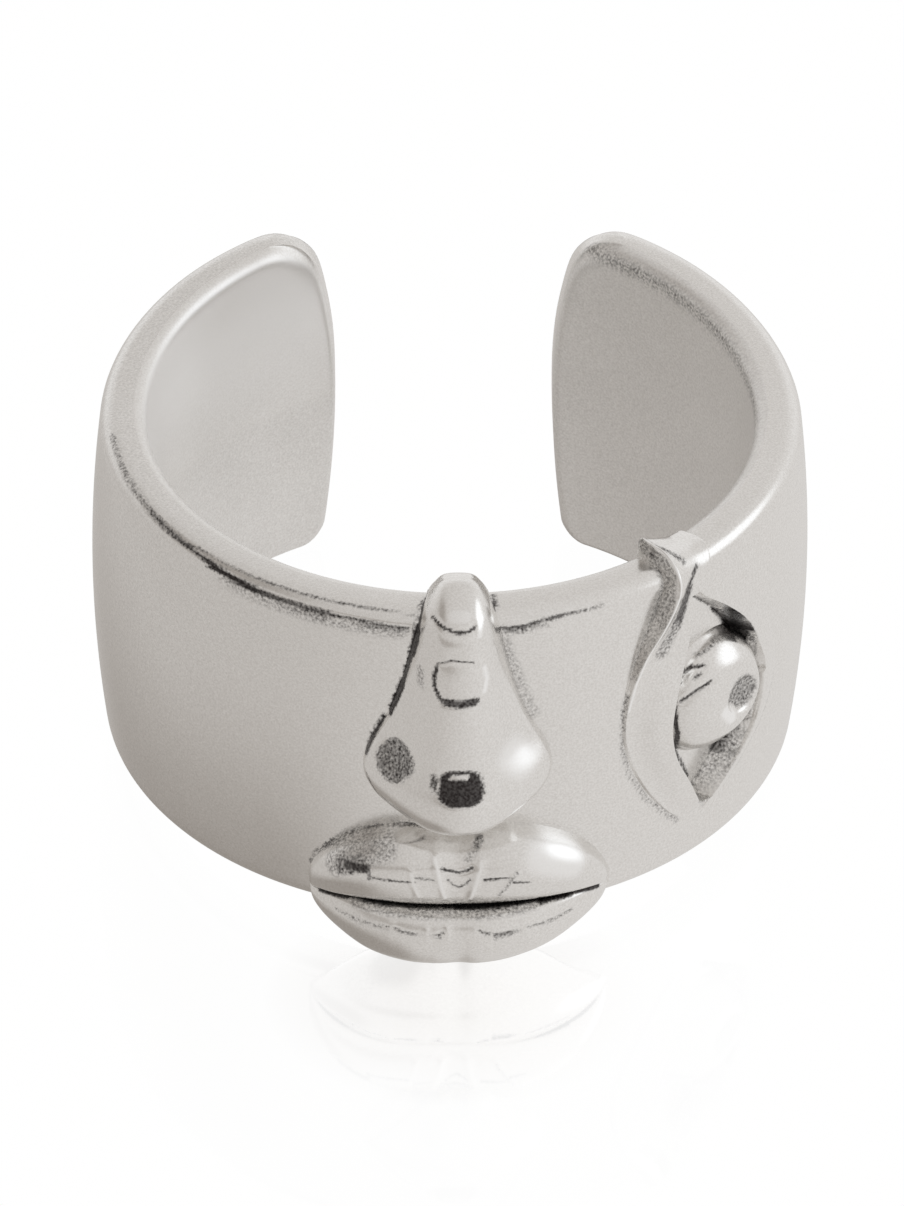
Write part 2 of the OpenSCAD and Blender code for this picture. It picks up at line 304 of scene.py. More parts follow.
def nose_section(t):
    """The section of the nose: its left side, its crest, and the same side again on the right."""
    s, crest, ridge_u, ridge_h, wing_u, wing_h, foot = along(NOSE, t)
    side = [[foot, -0.04], [foot - 0.1, 0.5 * wing_h], [wing_u, wing_h], [ridge_u, ridge_h]]
    return s, [[-u, h] for u, h in side] + [[0, crest]] + side[::-1]


def places_of(mesh):
    """The places (u, s) on the skin of a mesh's points, with the points and their normals."""
    points, normals = np.empty((2, len(mesh.vertices), 3), np.float32)
    mesh.vertices.foreach_get("co", points.ravel())
    mesh.vertices.foreach_get("normal", normals.ravel())
    x, y, z = points.T
    r, high = np.hypot(x, y), np.abs(z)
    over = np.where(r > turn_r, rim_round * np.arctan2(high - turn_z, np.maximum(r - turn_r, 1e-6)),
                    turn_len + turn_r - r)
    s = np.where(high > turn_z, turn_z + over, high)
    return np.arctan2(x, -y) * out_r, np.copysign(s, z), points, normals


def apart(u, s, path, stretch=1):
    """How far places on the skin lie from a path of one or more places. What is raised on the rim is
    longer there than the skin under it, by so many times as stretch says."""
    near = np.full(len(u), 1e9)
    for (u0, s0), (u1, s1) in zip(path, path[1:] or path):
        du, ds = u1 - u0, s1 - s0
        t = np.clip(((u - u0) * du + (s - s0) * ds) / (du * du + ds * ds + 1e-9), 0, 1)
        near = np.minimum(near, np.hypot(u - u0 - t * du, (s - s0 - t * ds) * stretch))
    return near


def engrave(piece, cuts):
    """Cuts fine grooves: how deep, how wide, and the places on the skin that each one passes. A
    groove of a depth below 0 is a fine fold that stands up."""
    u, s, points, normals = places_of(piece.data)
    depth = sum(deep * np.exp(-(apart(u, s, path) / wide) ** 2) for deep, wide, *path in cuts)
    piece.data.vertices.foreach_set("co", (points - normals * depth[:, None]).ravel())
    piece.data.update()


nose_rows, nose_columns = 200, 90
nose = raised(nose_rows, nose_columns, *sheets(nose_section))

# The small facets that polishing has left down the nose, with their fine edges
engrave(nose, [
    [0.025, 0.03, (-0.62, 4.46), (-0.50, 4.42), (-0.32, 4.36), (-0.05, 4.33), (0.21, 4.34), (0.34, 4.37)],
    [0.020, 0.05, (0.25, 4.02), (-0.18, 4.10), (-0.46, 3.96), (-0.53, 3.68), (-0.54, 3.40), (-0.43, 3.20),
     (-0.34, 3.02), (0.00, 2.98), (0.42, 3.02), (0.53, 3.20), (0.56, 3.45), (0.48, 3.84), (0.25, 4.02)],
    [0.020, 0.05, (-0.36, 1.16), (-0.30, 1.32), (0.40, 1.24), (0.48, 0.80), (0.36, 0.48), (-0.16, 0.46),
     (-0.38, 0.63), (-0.36, 1.16)],
    [0.050, 0.30, (-1.40, 0.95), (-1.30, 1.10)],
])

# The lips
# Two full lips under the nose, cast with the band. The ring stands on the lower one, which hangs
# below the rim. The graver has cut the line of the mouth, and fine folds beside it.

# Place round the band, top edge, height of the upper lip, mouth line and its height, height of the
# lower lip, and its lower edge along the skin
LIPS = [
    [-3.74, -3.62, 0.00, -3.98, -0.03, 0.00, -4.08],
    [-3.50, -2.95, 0.34, -3.90, 0.10, 0.30, -4.42],
    [-2.90, -2.24, 0.76, -3.71, 0.26, 0.66, -4.90],
    [-2.05, -1.72, 0.98, -3.59, 0.40, 1.06, -5.28],
    [-1.20, -1.52, 1.02, -3.59, 0.46, 1.24, -5.46],
    [-0.55, -1.54, 0.98, -3.61, 0.46, 1.27, -5.50],
    [0.00, -1.66, 0.92, -3.63, 0.44, 1.25, -5.49],
    [0.55, -1.54, 0.98, -3.60, 0.44, 1.27, -5.50],
    [1.25, -1.52, 1.02, -3.57, 0.42, 1.20, -5.42],
    [2.10, -1.74, 0.98, -3.58, 0.38, 1.00, -5.20],
    [2.95, -2.26, 0.78, -3.66, 0.26, 0.66, -4.80],
    [3.62, -3.02, 0.40, -3.85, 0.10, 0.32, -4.42],
    [3.95, -3.66, 0.00, -3.98, -0.03, 0.00, -4.14],
]


def lip_section(t):
    """Place round the band, and the curve over both lips as rows of place along it and height."""
    u, top, up_h, mouth, mouth_h, low_h, low = along(LIPS, t)
    up, down = top - mouth, mouth - low
    return u, [
        [top, -0.03], [top - 0.10 * up, 0.55 * up_h], [top - 0.30 * up, 0.90 * up_h],
        [top - 0.55 * up, up_h], [top - 0.80 * up, 0.90 * up_h], [top - 0.95 * up, 0.72 * up_h],
        [mouth, mouth_h], [mouth - 0.03 * down, 0.64 * low_h], [mouth - 0.13 * down, 0.86 * low_h],
        [mouth - 0.45 * down, low_h], [mouth - 0.80 * down, 0.78 * low_h], [low, -0.03],
    ]


def lip_outside(a, b):
    u, curve = lip_section(a)
    s, h = along(curve, b)
    return skin(u, s, h)


def lip_inside(a, b):
    u, curve = lip_section(a)
    return skin(u, along(curve, b)[0], -root)


lip_rows, lip_columns = 180, 130
lips = raised(lip_rows, lip_columns, lip_outside, lip_inside)

# The graver's lines: the edge under each lobe, two curls in the middle, and the folds of both lips
engrave(lips, [
    [0.015, 0.04, (-2.26, -2.52), (-1.76, -2.54), (-1.40, -2.55), (-0.92, -2.55)],
    [0.020, 0.04, (0.59, -2.49), (1.20, -2.47)],
    [0.015, 0.04, (1.22, -2.60), (1.58, -2.65)],
    [0.025, 0.05, (-0.30, -2.20), (-0.14, -2.30), (0.04, -2.34), (0.20, -2.29), (0.32, -2.18)],
    [0.020, 0.05, (-0.24, -2.58), (-0.10, -2.79), (0.04, -2.85), (0.22, -2.74), (0.33, -2.52)],
    [-0.020, 0.07, (-1.01, -2.26), (-0.97, -2.50), (-0.84, -3.10)],
    [-0.035, 0.09, (-0.50, -1.95), (-0.42, -2.30), (-0.26, -3.15)],
    [-0.035, 0.09, (0.52, -2.05), (0.44, -2.40), (0.30, -3.15)],
    [-0.020, 0.07, (1.31, -2.31), (1.18, -2.53), (0.92, -3.10)],
    [0.012, 0.04, (-2.80, -4.06), (-2.04, -4.05), (-1.47, -4.02)],
    [0.018, 0.04, (-1.37, -4.02), (-1.10, -4.10), (-0.70, -4.14), (-0.43, -4.14), (-0.30, -4.03)],
    [0.018, 0.04, (0.46, -3.99), (0.58, -4.06), (0.84, -4.14), (0.93, -4.13), (1.42, -4.13)],
    [0.012, 0.04, (1.58, -4.08), (2.28, -4.07), (2.66, -4.02)],
    [-0.018, 0.05, (-1.50, -4.08), (-1.41, -3.90)],
    [-0.018, 0.05, (-0.66, -4.14), (-0.66, -3.94)],
    [-0.022, 0.06, (-0.20, -4.10), (-0.22, -3.90)],
    [-0.020, 0.05, (1.50, -4.13), (1.50, -3.92)],
    [0.015, 0.22, (0.10, -4.30), (0.06, -5.10)],
])

# The eye
# It stands upright beside the nose: an almond opening sunk in the wall, with a broad left lid whose
# tail goes over the upper rim, a low right lid, and a round eyeball with a dimple for its pupil.
eye_depth = 0.5

# Place along the skin, outer edge, crest, inner edge, and the heights of the crest and inner edge
LEFT_LID = [
    [-3.00, 6.02, 6.14, 6.44, 0.01, 0.01],
    [-2.60, 5.58, 5.70, 6.50, 0.04, 0.12],
    [-2.00, 5.10, 5.24, 6.22, 0.06, 0.20],
    [-1.40, 4.72, 4.86, 5.88, 0.07, 0.27],
    [-0.60, 4.34, 4.48, 5.50, 0.07, 0.33],
    [0.30, 4.10, 4.24, 5.33, 0.07, 0.36],
    [1.20, 4.12, 4.24, 5.46, 0.10, 0.34],
    [2.00, 4.30, 4.41, 5.70, 0.18, 0.30],
    [2.70, 4.58, 4.68, 5.92, 0.28, 0.26],
    [3.30, 4.90, 5.03, 6.06, 0.40, 0.22],
    [3.80, 5.18, 5.33, 6.42, 0.46, 0.18],
    [4.30, 5.38, 5.60, 6.84, 0.46, 0.12],
    [4.75, 5.42, 5.64, 7.08, 0.44, 0.08],
    [5.10, 5.38, 5.54, 7.12, 0.48, 0.06],
    [5.40, 5.34, 5.46, 7.06, 0.48, 0.04],
    [5.50, 5.36, 5.50, 7.04, 0.01, 0.01],
]

# Place along the skin, inner edge, outer edge, and height of the inner edge
RIGHT_LID = [
    [-3.05, 6.80, 7.25, 0.01],
    [-2.50, 7.40, 8.10, 0.05],
    [-1.60, 8.42, 9.20, 0.09],
    [-0.80, 8.76, 9.66, 0.12],
    [0.00, 8.78, 9.74, 0.12],
    [1.00, 8.46, 9.45, 0.12],
    [2.00, 7.96, 8.90, 0.12],
    [2.80, 7.26, 8.10, 0.12],
    [3.40, 6.60, 7.25, 0.08],
    [4.00, 6.12, 6.52, 0.02],
]

# Place along the skin, left edge and right edge of the opening
EYE = [
    [-2.85, 6.62, 6.96],
    [-2.20, 6.28, 7.82],
    [-1.50, 5.92, 8.50],
    [-0.70, 5.52, 8.78],
    [0.20, 5.34, 8.76],
    [1.00, 5.42, 8.46],
    [2.00, 5.70, 7.96],
    [2.80, 5.94, 7.26],
    [3.40, 6.03, 6.60],
    [3.80, 6.05, 6.18],
]

# Centre of a ring of the eyeball round the band and along it, its radius each way, and its height,
# from the middle of the pupil to the root
EYEBALL = [
    [7.70, 0.10, 0.00, 0.00, 0.19],
    [7.70, 0.10, 0.18, 0.20, 0.19],
    [7.68, 0.10, 0.42, 0.40, 0.21],
    [7.67, 0.11, 0.53, 0.52, 0.28],
    [7.62, 0.13, 0.66, 0.66, 0.32],
    [7.44, 0.18, 0.90, 0.94, 0.27],
    [7.32, 0.20, 1.18, 1.20, 0.11],
    [7.27, 0.18, 1.43, 1.44, -0.11],
    [7.26, 0.16, 1.57, 1.58, -0.34],
    [7.26, 0.16, 1.61, 1.61, -0.62],
    [7.26, 0.16, 0.00, 0.00, -0.66],
]


def lid_section(t):
    """The section of the left lid, with its ridge near the outer edge."""
    s, outer, crest, inner, crest_h, inner_h = along(LEFT_LID, t)
    rise, fall = crest - outer, inner - crest
    return s, [
        [outer, -0.03], [outer + 0.45 * rise, 0.55 * crest_h], [crest - 0.05, 0.94 * crest_h],
        [crest, crest_h], [crest + 0.05, 0.95 * crest_h],
        [crest + 0.28 * fall, 0.62 * crest_h + 0.20 * inner_h],
        [crest + 0.62 * fall, 0.20 * crest_h + 0.72 * inner_h],
        [crest + 0.88 * fall, 0.04 * crest_h + 0.95 * inner_h], [crest + 0.96 * fall, inner_h],
        [inner, 0.85 * inner_h - 0.01], [inner + 0.02, -0.03],
    ]


def right_lid_section(t):
    """The section of the right lid, which is highest at the opening."""
    s, inner, outer, height = along(RIGHT_LID, t)
    wide = outer - inner
    return s, [[inner - 0.02, -0.03], [inner, 0.9 * height], [inner + 0.08, height],
               [inner + 0.35 * wide, 0.8 * height], [inner + 0.7 * wide, 0.3 * height], [outer, -0.02]]


def opening_outside(a, b):
    """The top of what is cut out, well over the skin and a little wider on the right."""
    s, left, right = along(EYE, a)
    return skin(left + (right + 0.5 - left) * b, s, 1.0)


def opening_floor(a, b):
    """The floor of the eye. Its right wall slants, and more so in the lower half."""
    s, left, right = along(EYE, a)
    slant = min(0.45 if s < 0 else 0.15, (right - left) / 3)
    return skin(left + (right - slant - left) * b, s, -eye_depth)


lid_rows, left_columns, right_columns = 180, 50, 20
opening_rows, opening_columns = 80, 30
left_lid = raised(lid_rows, left_columns, *sheets(lid_section))
right_lid = raised(opening_rows, right_columns, *sheets(right_lid_section))
opening = raised(opening_rows, opening_columns, opening_outside, opening_floor)

bpy.ops.mesh.primitive_uv_sphere_add(segments=112, ring_count=72, radius=1)
eyeball = bpy.context.object
for v in eyeball.data.vertices:
    u, s, r_u, r_s, h = along(EYEBALL, math.acos(max(-1, min(1, v.co.z))) / math.pi)
    flat = math.hypot(v.co.x, v.co.y) or 1
    v.co = skin(u + r_u * v.co.x / flat, s + r_s * v.co.y / flat, h)
bpy.ops.object.mode_set(mode="EDIT")
bpy.ops.mesh.select_all(action="SELECT")
bpy.ops.mesh.normals_make_consistent(inside=False)
bpy.ops.object.mode_set(mode="OBJECT")

# Creases on the eyeball beside the left lid
engrave(eyeball, [
    [0.05, 0.06, (6.05, 1.10), (6.18, 1.27), (6.39, 1.38), (6.63, 1.39)],
    [0.06, 0.07, (5.95, 0.65), (6.29, 0.88), (6.66, 1.03)],
    [0.03, 0.05, (6.33, 1.18), (6.48, 1.26)],
])

# The casting
# The band and all that is raised on it are one piece of silver, so they are joined into one mesh,
# and the whole ring is set down on its lower lip and the corners of its ends.


def join(whole, part, how):
    """Joins a piece to the casting, or cuts it out, and deletes it."""
    change = whole.modifiers.new(how.lower(), "BOOLEAN")
    change.object, change.operation, change.solver = part, how, "EXACT"
    bpy.ops.object.select_all(action="DESELECT")
    bpy.context.view_layer.objects.active = whole
    whole.select_set(True)
    bpy.ops.object.modifier_apply(modifier=change.name)
    bpy.data.objects.remove(part)


# Under the rim the front has a fine crease, where the rounding of the rim was filed
engrave(band, [
    [0.020, 0.05, (-9.40, 4.50), (-7.00, 4.44), (-5.60, 4.31), (-4.30, 4.27), (-2.55, 4.24), (-1.20, 4.15)],
    [0.025, 0.05, (1.00, 4.20), (1.53, 4.17), (2.13, 4.27), (2.80, 4.31), (3.60, 4.34)],
])
join(band, left_lid, "UNION")
join(band, right_lid, "UNION")
join(band, opening, "DIFFERENCE")
join(band, eyeball, "UNION")
join(band, nose, "UNION")
join(band, lips, "UNION")

# Painted light and tarnish: how dark, half width, soft edge, and the places that it passes. It is laid
# on in this order. The strokes are painted shade in creases and under edges, and painted dark
# reflections, laid on as tarnish. A darkness of 0 is a spot left clean again, and one below 0 is a
# painted highlight, brighter than the rest.
PAINTED_LIGHT_AND_TARNISH = [
    # the crease under the rim: a painted dark reflection on the rounding of the rim, and painted shade in
    # the filed crease
    [0.46, 0.02, 0.10, (-12.60, 4.64), (-9.46, 4.55), (-7.92, 4.50)],
    [0.55, 0.008, 0.03, (-7.40, 4.58), (-6.68, 4.60), (-4.43, 4.58), (-2.09, 4.57), (-1.00, 4.53)],
    [0.25, 0.05, 0.20, (-6.20, 4.20), (-4.30, 4.10), (-1.40, 4.05)],
    [0.80, 0.02, 0.07, (-9.20, 4.53), (-8.20, 4.49), (-7.40, 4.46)],
    [0.95, 0.03, 0.04, (-7.60, 4.47), (-7.00, 4.43), (-6.60, 4.40)],
    [0.97, 0.06, 0.05, (-6.70, 4.38), (-6.20, 4.35), (-5.60, 4.31), (-5.00, 4.28)],
    [0.85, 0.04, 0.06, (-5.00, 4.28), (-4.00, 4.26), (-3.20, 4.25)],
    [0.80, 0.02, 0.05, (-3.20, 4.25), (-2.55, 4.24), (-1.20, 4.15)],
    [0.92, 0.02, 0.04, (1.00, 4.20), (1.53, 4.17), (2.13, 4.27), (2.80, 4.31)],
    [0.50, 0.01, 0.04, (2.80, 4.31), (3.60, 4.34)],
    [0.30, 0.04, 0.08, (1.05, 4.06), (1.60, 4.06), (2.10, 4.16)],
    # the sides of the nose: a painted dark reflection down the steep left side, and painted shade beside the
    # right side and under the left edge
    [0.92, 0.02, 0.04, (-0.86, 5.37), (-0.90, 4.60), (-0.95, 4.30)],
    [0.97, 0.06, 0.04, (-0.97, 4.25), (-1.04, 3.95), (-1.10, 3.70)],
    [0.95, 0.03, 0.04, (-1.10, 3.70), (-1.24, 3.10), (-1.30, 2.80)],
    [0.97, 0.045, 0.04, (-1.32, 2.76), (-1.44, 2.40), (-1.60, 1.95)],
    [0.90, 0.025, 0.04, (-1.78, 1.66), (-2.00, 1.16), (-2.12, 0.80)],
    [0.90, 0.015, 0.04, (0.90, 5.35), (0.90, 4.60)],
    [0.20, 0.04, 0.16, (1.06, 4.06), (1.32, 3.27), (1.58, 2.39), (1.84, 1.72)],
    [0.60, 0.008, 0.04, (-2.05, 0.36), (-1.70, -0.16), (-1.20, -0.66), (-0.70, -1.05)],
    # the facets down the nose: painted reflections of the window and of the dark round it, painted dark
    # reflections on the tip and the left wing, and a painted highlight on the right wing
    [0.95, 0.018, 0.04, (-0.60, 4.45), (-0.48, 4.40), (-0.32, 4.36), (-0.05, 4.33), (0.21, 4.34),
     (0.34, 4.37)],
    [-0.5, 0.10, 0.10, (-0.12, 4.45), (0.12, 4.45)],
    [0.70, 0.010, 0.03, (0.30, 4.04), (0.02, 4.09), (-0.18, 4.10), (-0.46, 3.98), (-0.51, 3.80)],
    [0.97, 0.022, 0.04, (-0.50, 3.82), (-0.54, 3.60), (-0.53, 3.40), (-0.45, 3.22), (-0.36, 3.10)],
    [0.90, 0.08, 0.05, (-0.26, 3.08), (0.02, 3.04), (0.32, 3.08)],
    [-1.0, 0.020, 0.05, (0.55, 3.84), (0.60, 3.52), (0.54, 3.24)],
    [-0.8, 0.030, 0.06, (0.46, 4.30), (0.52, 4.44)],
    [0.30, 0.03, 0.10, (-0.86, 3.56), (-0.85, 3.22)],
    [0.96, 0.28, 0.05, (-0.12, 0.74), (0.20, 0.74), (0.16, 1.02), (-0.10, 1.02)],
    [0.80, 0.03, 0.05, (-0.52, 1.14), (-0.49, 0.80)],
    [0.00, 0.035, 0.02, (-0.14, 1.17), (0.18, 1.18)],
    [0.66, 0.33, 0.06, (-1.48, 0.92), (-1.30, 1.14)],
    [-0.6, 0.14, 0.35, (1.14, 1.30), (1.44, 1.00)],
    # the upper lip: painted shade along its top edge and in the graver's lines, a painted dark reflection on
    # the left lobe, and painted highlights on its folds and its right lobe
    [0.60, 0.008, 0.04, (-3.66, -3.30), (-3.50, -2.86), (-3.02, -2.38), (-2.36, -1.86), (-1.72, -1.58)],
    [0.50, 0.008, 0.05, (-1.72, -1.58), (-1.09, -1.50), (-0.60, -1.52)],
    [0.25, 0.16, 0.20, (-2.80, -2.60), (-2.30, -2.10), (-1.60, -1.86)],
    [0.55, 0.10, 0.16, (-2.60, -2.50), (-2.10, -2.26)],
    [0.92, 0.06, 0.08, (-2.46, -2.42), (-2.00, -2.34)],
    [0.85, 0.015, 0.04, (-2.66, -2.36), (-2.64, -2.66)],
    [0.80, 0.015, 0.04, (-2.40, -2.40), (-2.34, -2.56)],
    [0.70, 0.015, 0.04, (-1.94, -2.36), (-1.92, -2.60)],
    [0.75, 0.010, 0.04, (-1.90, -2.54), (-1.40, -2.55), (-0.92, -2.55)],
    [0.60, 0.008, 0.04, (-0.99, -2.40), (-0.75, -2.44), (-0.53, -2.48)],
    [0.92, 0.018, 0.03, (0.59, -2.49), (0.95, -2.45)],
    [0.75, 0.010, 0.03, (0.95, -2.45), (1.20, -2.47)],
    [0.80, 0.012, 0.03, (1.22, -2.60), (1.58, -2.65)],
    [0.40, 0.008, 0.04, (1.31, -2.31), (1.18, -2.53), (0.92, -3.05)],
    [0.60, 0.02, 0.08, (0.54, -1.64), (0.42, -1.78)],
    [0.26, 0.02, 0.10, (0.38, -1.84), (0.22, -2.04)],
    [0.90, 0.018, 0.03, (-0.36, -2.20), (-0.20, -2.27), (0.04, -2.33), (0.24, -2.26), (0.34, -2.18)],
    [0.70, 0.012, 0.03, (-0.20, -2.50), (-0.10, -2.66), (0.04, -2.74), (0.20, -2.64), (0.28, -2.50)],
    [-0.7, 0.015, 0.05, (-0.50, -1.95), (-0.42, -2.30), (-0.26, -3.15)],
    [-0.7, 0.015, 0.05, (0.52, -2.05), (0.44, -2.40), (0.30, -3.15)],
    [-0.6, 0.010, 0.04, (-1.01, -2.26), (-0.97, -2.50), (-0.84, -3.10)],
    [-0.7, 0.20, 0.35, (1.90, -2.10), (2.60, -2.45)],
    # the line of the mouth: painted shade in the slit
    [0.95, 0.02, 0.05, (-3.34, -3.87), (-3.10, -3.80), (-2.40, -3.64), (-1.40, -3.59), (0.00, -3.62)],
    [0.98, 0.05, 0.06, (0.00, -3.62), (1.40, -3.57), (2.20, -3.59), (2.70, -3.64)],
    [0.95, 0.03, 0.04, (2.70, -3.64), (3.10, -3.74), (3.50, -3.86)],
    [0.24, 0.01, 0.10, (-2.40, -3.72), (-0.80, -3.70), (0.60, -3.70), (1.80, -3.66)],
    # the lower lip: painted shade low on it and in its folds
    [0.10, 0.30, 0.50, (-2.20, -4.50), (-1.20, -4.90), (0.30, -5.00)],
    [0.40, 0.008, 0.04, (-2.80, -4.06), (-2.04, -4.05), (-1.47, -4.02)],
    [0.75, 0.012, 0.03, (-1.37, -4.02), (-1.10, -4.10), (-0.70, -4.14), (-0.43, -4.14), (-0.30, -4.05)],
    [0.75, 0.012, 0.03, (0.50, -4.01), (0.58, -4.06), (0.84, -4.14), (0.93, -4.13), (1.42, -4.13)],
    [0.45, 0.010, 0.04, (1.58, -4.08), (2.28, -4.07), (2.66, -4.02)],
    # the left lid: painted shade on its outer wall and beside its ridge, and a painted highlight along the
    # ridge
    [0.34, 0.07, 0.05, (5.48, 5.40), (5.50, 4.90), (5.47, 4.40), (5.20, 3.80), (4.96, 3.40)],
    [0.18, 0.05, 0.08, (4.96, 3.40), (4.62, 2.70), (4.36, 2.10)],
    [0.80, 0.04, 0.05, (6.34, 4.40), (6.08, 4.28), (5.86, 4.18)],
    [0.85, 0.12, 0.10, (5.88, 4.12), (5.76, 3.86), (5.64, 3.54), (5.50, 3.26)],
    [0.42, 0.08, 0.16, (5.46, 3.22), (5.30, 3.00), (5.08, 2.66)],
    [0.60, 0.06, 0.05, (5.52, 4.98), (5.72, 4.78), (5.98, 4.56)],
    [-1.0, 0.014, 0.03, (5.48, 5.30), (5.62, 4.70), (5.60, 4.30), (5.33, 3.80), (5.03, 3.30),
     (4.68, 2.70), (4.41, 2.00), (4.24, 1.20)],
    [0.36, 0.010, 0.08, (4.20, 1.60), (4.10, 0.90), (4.10, 0.10), (4.34, -0.80), (4.90, -1.84),
     (5.60, -2.66)],
    [0.45, 0.02, 0.06, (5.66, -2.72), (5.90, -2.96)],
    # the opening of the eye: painted shade under the right lid and along the walls of the opening
    [0.60, 0.02, 0.04, (6.66, 3.24), (6.95, 2.98)],
    [0.70, 0.03, 0.04, (6.95, 2.98), (7.30, 2.66)],
    [0.96, 0.08, 0.04, (7.50, 2.46), (7.90, 2.02)],
    [0.97, 0.17, 0.05, (8.02, 1.78), (8.18, 1.52)],
    [0.90, 0.08, 0.12, (8.18, 1.52), (8.34, 1.20)],
    [0.45, 0.02, 0.06, (8.40, 1.00), (8.64, 0.40), (8.70, -0.10), (8.66, -0.70), (8.48, -1.30)],
    [0.26, 0.13, 0.10, (8.24, -1.46), (7.80, -1.96), (7.22, -2.46), (6.90, -2.72)],
    [0.85, 0.06, 0.12, (8.42, -1.10), (8.08, -1.62), (7.64, -1.90)],
    [0.92, 0.03, 0.03, (6.00, 1.40), (5.84, 1.00), (5.78, 0.40), (5.80, 0.00), (5.96, -0.70), (6.23, -1.38)],
    [0.90, 0.025, 0.03, (6.23, -1.38), (6.50, -1.90), (6.70, -2.30)],
    # the eyeball: painted shade at its top edge, in its creases and in the dimple of the pupil, and a
    # painted highlight beside the pupil
    [0.40, 0.005, 0.04, (7.90, 1.50), (7.60, 1.64), (7.20, 1.70), (6.60, 1.58)],
    [0.85, 0.02, 0.03, (5.98, 1.04), (6.18, 1.27), (6.39, 1.38), (6.63, 1.39)],
    [0.90, 0.025, 0.03, (5.95, 0.65), (6.29, 0.88), (6.66, 1.03)],
    [0.80, 0.012, 0.04, (6.33, 1.18), (6.48, 1.26)],
    [-1.0, 0.10, 0.16, (7.05, -0.02), (7.25, -0.30)],
    [0.52, 0.34, 0.14, (7.54, 0.34), (7.78, 0.10)],
]

u, s, points, normals = places_of(band.data)
x, y, z = points.T
r, high, round_it = np.hypot(x, y), np.abs(z), np.abs(u)
on_rim = (r > turn_r) & (high > turn_z)
stretch = np.where(on_rim, np.hypot(r - turn_r, high - turn_z) / rim_round, 1)
tarnish_and_painted_light = np.zeros(len(u))
for dark, half_wide, soft, *path in PAINTED_LIGHT_AND_TARNISH:
    share = np.clip((half_wide + soft - apart(u, s, path, stretch)) / soft, 0, 1)
    share *= share * (3 - 2 * share)
    tarnish_and_painted_light += (dark - tarnish_and_painted_light) * share

# Inside, the right wall has a strip of painted shade under its upper edge, and the left wall is painted
# lighter high up. Both fade out towards the front. Outside, the band is a little darker towards the left
# end.
strip_dark, strip_below, strip_half_wide, strip_from, strip_fade = 0.26, 0.36, 0.18, 9, 5
left_heights, left_darkness, left_edge = (0, 1.2, 3), (0.03, -0.3, -0.9), bore_r + 0.13
strokes_end, front_clear, front_fade = 12, 2, 7
inside = (r < bore_r + bore_round) & ((high < half_w + 0.02) | (round_it > strokes_end))
ends = np.clip((round_it / out_r - math.pi / 2) / rise_turn, 0, 1)
below = half_w + end_rise * ends * ends * (3 - 2 * ends) - z
strip = strip_dark * np.exp(-((below - strip_below) / strip_half_wide) ** 2)
right_wall_painted_shade = 0.04 + strip * np.clip((u - strip_from) / strip_fade, 0, 1)
left_wall_painted_light = np.interp(z, left_heights, left_darkness) * np.clip((left_edge - r) / 0.1, 0, 1)
from_front = np.clip((round_it - front_clear) / front_fade, 0, 1)
from_front *= from_front * (3 - 2 * from_front)
darker_to_left = 0.05 * np.clip((-2 - u) / 8, 0, 1)
tarnish_and_painted_light = np.where(inside, np.where(u > 0, right_wall_painted_shade, left_wall_painted_light) * from_front,
                   np.where(tarnish_and_painted_light == 0, darker_to_left, tarnish_and_painted_light))

# The bore, the right wing of the nose and the right lobe of the upper lip have a rougher satin
satin_r, satin_fade, satin_spot = 7.9, 0.2, 0.3
wing = 0.5 * np.clip(2 - apart(u, s, [(1.20, 1.25), (1.45, 0.95)]) / satin_spot, 0, 1)
lobe = 0.4 * np.clip(2 - apart(u, s, [(1.90, -2.10), (2.60, -2.50)]) / satin_spot, 0, 1)
satin = np.maximum(np.clip((satin_r - r) / satin_fade, 0, 1) * inside, (wing + lobe) * (r > mid_r))
for name, value in (("tarnish_and_painted_light", tarnish_and_painted_light), ("satin", satin)):
    band.data.attributes.new(name, "FLOAT", "POINT").data.foreach_set("value", value)

band.name = band.data.name = "toe_ring"
band.data.transform(set_down @ Matrix.Scale(MM, 4))
bpy.ops.object.shade_smooth_by_angle(angle=math.radians(32))

# The silver
# All of the ring is cast silver with a satin polish. It has a fine grain and faint clouds in its shine.
# Its hollows are darkened by how enclosed they are, as painted shade, and the strokes above lay on
# painted shade, dark reflections and tarnish, and painted highlights.
dark_grain, light_grain = (0.785, 0.77, 0.75, 1), (0.895, 0.885, 0.87, 1)
# White for painted highlights, and near black for painted shade, dark reflections and tarnish
painted_highlight_white, shade_and_tarnish_black = (1, 1, 1, 1), (0.035, 0.030, 0.030, 1)
grain_size, speckle_size, cloud_size = 19000, 15500, 600
hollow_reach, grain_depth = 0.30 * MM, 0.004 * MM

silver = bpy.data.materials.new("cast_silver")
silver.use_nodes = True
nodes, links = silver.node_tree.nodes, silver.node_tree.links
shader = nodes["Principled BSDF"]
shader.inputs["Metallic"].default_value = 1
shader.inputs["IOR"].default_value = 1.45
place = nodes.new("ShaderNodeTexCoord").outputs["Object"]


def pattern(scale, detail):
    """A pattern of even noise on the silver, of so many grains to the metre."""
    noise = nodes.new("ShaderNodeTexNoise")
    noise.inputs["Scale"].default_value = scale
    noise.inputs["Detail"].default_value = detail
    links.new(place, noise.inputs["Vector"])
    return noise.outputs["Fac"]


def ramp(value, low, high, low_to, high_to):
    """Carries a value from one range to another, and holds it inside the second."""
    step = nodes.new("ShaderNodeMapRange")
    for name, number in (("From Min", low), ("From Max", high), ("To Min", low_to), ("To Max", high_to)):
        step.inputs[name].default_value = number
    links.new(value, step.inputs["Value"])
    return step.outputs["Result"]


